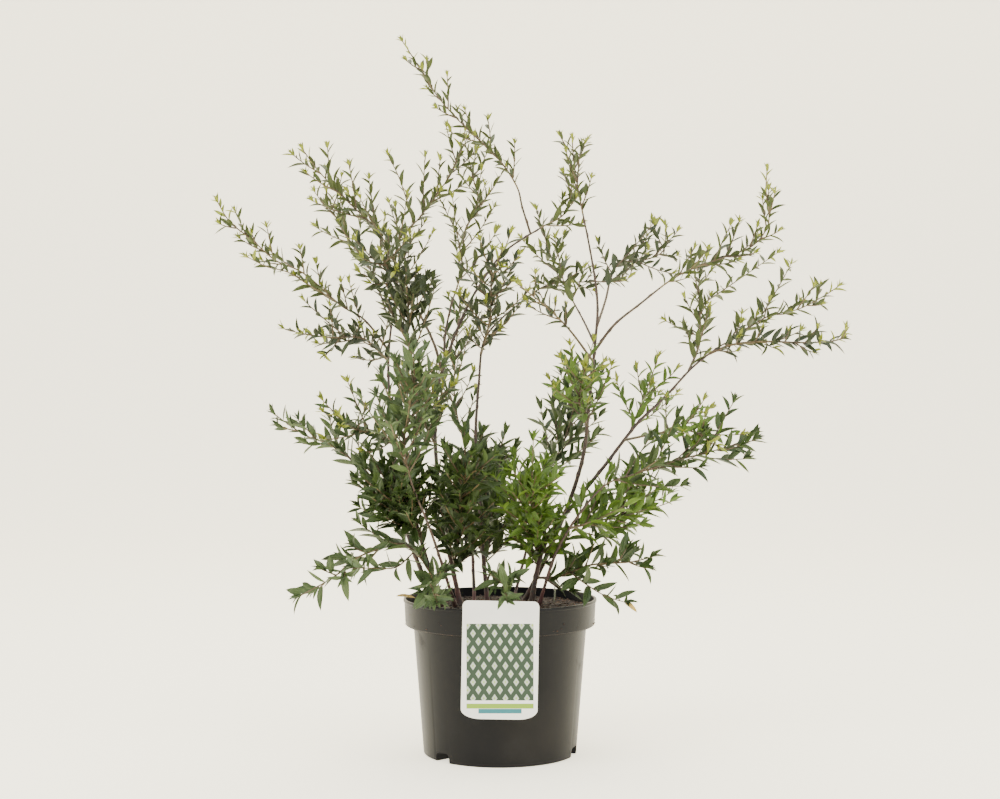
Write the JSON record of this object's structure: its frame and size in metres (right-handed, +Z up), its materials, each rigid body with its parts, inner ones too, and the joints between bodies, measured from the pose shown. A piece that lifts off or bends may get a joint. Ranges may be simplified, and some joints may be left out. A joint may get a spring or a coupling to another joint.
{
  "type": "potted grefsheim spirea",
  "caption": "Bushy young spirea shrub of arching leafy canes without flowers, in a round black nursery pot with a hanging plant label.",
  "frame": {"origin": "centre of the pot's flat underside, on the ground", "axes": "+Z up along the pot's axis, -Y to the front where the label hangs, +X to the right as the label is seen"},
  "size_m": [0.6376, 0.4412, 0.7207],
  "materials": {
    "pot_plastic": "charcoal injection-moulded plastic with a satin sheen",
    "soil": "dark moist compost with bits of bark",
    "label_card": "white printed plastic card",
    "bark": "thin dark brown bark, reddish near the soil",
    "foliage": "narrow green leaves, yellower at the tips of the shoots"
  },
  "bodies": {
    "root": {"bough_far_left": "bark", "bough_left_high": "bark", "bough_middle_left": "bark", "bough_middle_up": "bark", "bough_right_outer": "bark", "bough_right_up": "bark", "bough_top": "bark", "cane_back_left": "bark", "cane_back_right": "bark", "cane_centre": "bark", "cane_far_right": "bark", "cane_front": "bark", "cane_left": "bark", "cane_left_inner": "bark", "cane_low_right": "bark", "cane_middle": "bark", "cane_right": "bark", "label": "label_card", "mass_back_left": "foliage", "mass_back_right": "foliage", "mass_centre": "foliage", "mass_crown_centre": "foliage", "mass_crown_left": "foliage", "mass_far_left": "foliage", "mass_far_right": "foliage", "mass_far_right_fan": "foliage", "mass_far_right_lower": "foliage", "mass_far_right_side": "foliage", "mass_foot_left": "foliage", "mass_foot_right": "foliage", "mass_front": "foliage", "mass_heart_back": "foliage", "mass_heart_far_right": "foliage", "mass_heart_front": "foliage", "mass_heart_left": "foliage", "mass_heart_right": "foliage", "mass_left": "foliage", "mass_left_high": "foliage", "mass_left_inner": "foliage", "mass_left_low": "foliage", "mass_left_middle": "foliage", "mass_left_side": "foliage", "mass_low_right": "foliage", "mass_middle": "foliage", "mass_middle_leafy": "foliage", "mass_middle_left": "foliage", "mass_middle_up": "foliage", "mass_right": "foliage", "mass_right_droop": "foliage", "mass_right_fork": "foliage", "mass_right_inner": "foliage", "mass_right_middle": "foliage", "mass_right_outer": "foliage", "mass_right_up": "foliage", "mass_rim_front": "foliage", "mass_rim_left": "foliage", "mass_top": "foliage", "pot": "pot_plastic", "soil": "soil"}
  },
  "joints": []
}
